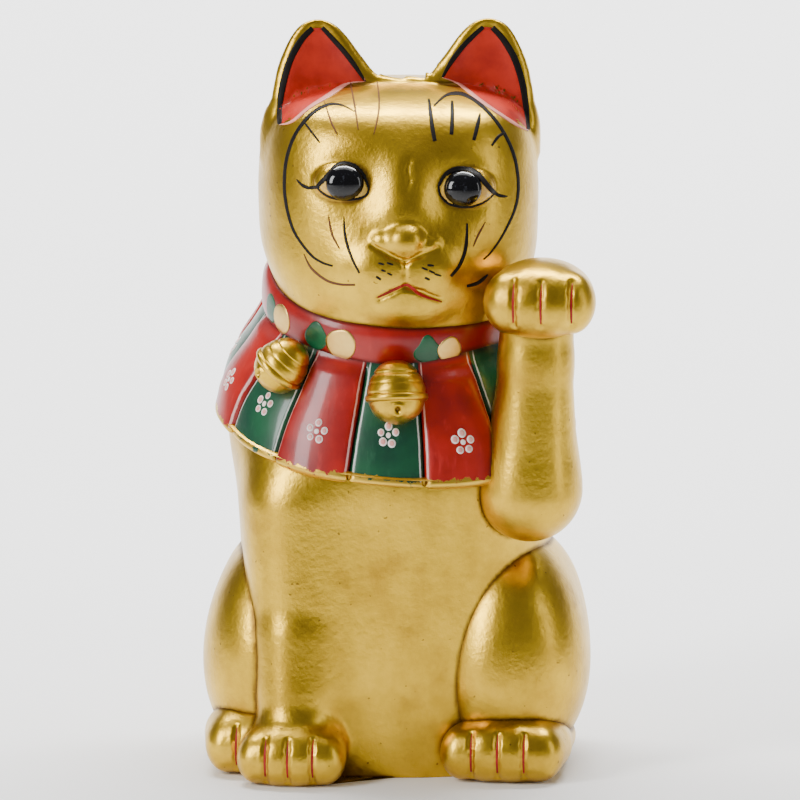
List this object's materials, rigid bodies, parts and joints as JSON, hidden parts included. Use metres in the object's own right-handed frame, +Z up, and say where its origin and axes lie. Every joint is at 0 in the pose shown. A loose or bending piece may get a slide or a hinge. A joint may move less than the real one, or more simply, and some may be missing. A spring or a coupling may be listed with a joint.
{
  "type": "beckoning cat figurine",
  "caption": "Seated gilded ceramic cat with a raised left paw, pleated red and green bib and bells, a hollow coin bank with a rear slot and a base stopper.",
  "frame": {"origin": "on the ground, below the middle of the figure's bounding box", "axes": "+Z up, -Y the way the cat faces, +X the cat's left, where the raised paw is"},
  "size_m": [0.1553, 0.1477, 0.298],
  "materials": {
    "gilded_ceramic": "gold paint, soft metallic sheen",
    "red_lacquer": "red paint under clear gloss",
    "green_lacquer": "green paint under clear gloss",
    "eye_glaze": "black gloss",
    "bare_ceramic": "unglazed, matt",
    "stopper_rubber": "matt rubber"
  },
  "bodies": {
    "figure": {"body_front": "gilded_ceramic", "body_rear": "gilded_ceramic", "base_plate": "bare_ceramic", "head_front": "gilded_ceramic", "head_rear": "gilded_ceramic", "ear_left": "gilded_ceramic", "ear_right": "gilded_ceramic", "eye_left": "eye_glaze", "eye_right": "eye_glaze", "collar": "red_lacquer", "haunch_left": "gilded_ceramic", "haunch_right": "gilded_ceramic", "hind_paw_left": "gilded_ceramic", "hind_paw_right": "gilded_ceramic", "foreleg_right": "gilded_ceramic", "raised_arm": "gilded_ceramic", "raised_paw": "gilded_ceramic", "tail": "gilded_ceramic", "bell_centre": "gilded_ceramic", "bell_right": "gilded_ceramic", "pleat_red_1": "red_lacquer", "pleat_red_2": "red_lacquer", "pleat_red_3": "red_lacquer", "pleat_red_4": "red_lacquer", "pleat_red_5": "red_lacquer", "pleat_red_6": "red_lacquer", "pleat_red_7": "red_lacquer", "pleat_red_8": "red_lacquer", "pleat_green_1": "green_lacquer", "pleat_green_2": "green_lacquer", "pleat_green_3": "green_lacquer", "pleat_green_4": "green_lacquer", "pleat_green_5": "green_lacquer", "pleat_green_6": "green_lacquer", "pleat_green_7": "green_lacquer", "pleat_green_8": "green_lacquer"},
    "stopper": {"base_stopper": "stopper_rubber"}
  },
  "joints": [
    {"name": "stopper_pull", "type": "slide", "parent": "figure", "child": "stopper", "axis": [0, 0, -1], "range_m": [0, 0.02]}
  ]
}
